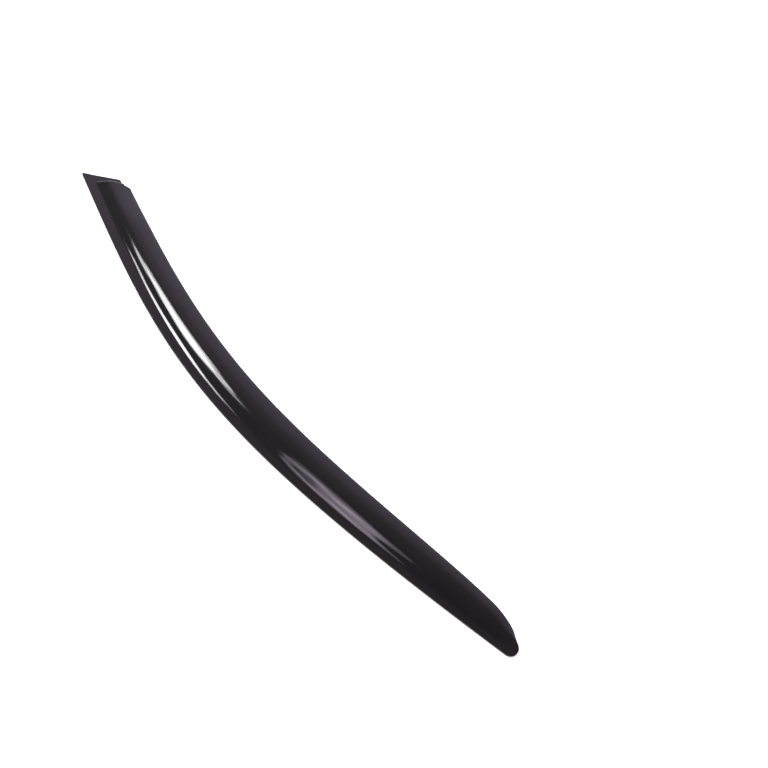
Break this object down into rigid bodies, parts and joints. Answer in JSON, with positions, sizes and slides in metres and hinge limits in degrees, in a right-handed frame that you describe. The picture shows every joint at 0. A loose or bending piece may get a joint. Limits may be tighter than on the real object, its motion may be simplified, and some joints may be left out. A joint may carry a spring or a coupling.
{
  "type": "window rain deflector",
  "caption": "Arched smoked sheet with a taped flange that sheds rain over the top of an open front car window and lets air out behind it.",
  "frame": {"origin": "centre of the bounding box in X and Y, on the face of the release liner, z = 0", "axes": "+X rearward along the door, +Y up toward the flange, +Z out of the car"},
  "size_m": [1.0104, 0.1328, 0.0132],
  "materials": {
    "smoked_acrylic": "polished",
    "foam_tape": "matt closed-cell foam",
    "release_liner": "smooth film"
  },
  "bodies": {
    "root": {"visor": "smoked_acrylic", "foam_tape_long": "foam_tape", "foam_tape_rear": "foam_tape", "liner_long": "release_liner", "liner_rear": "release_liner"}
  },
  "joints": []
}
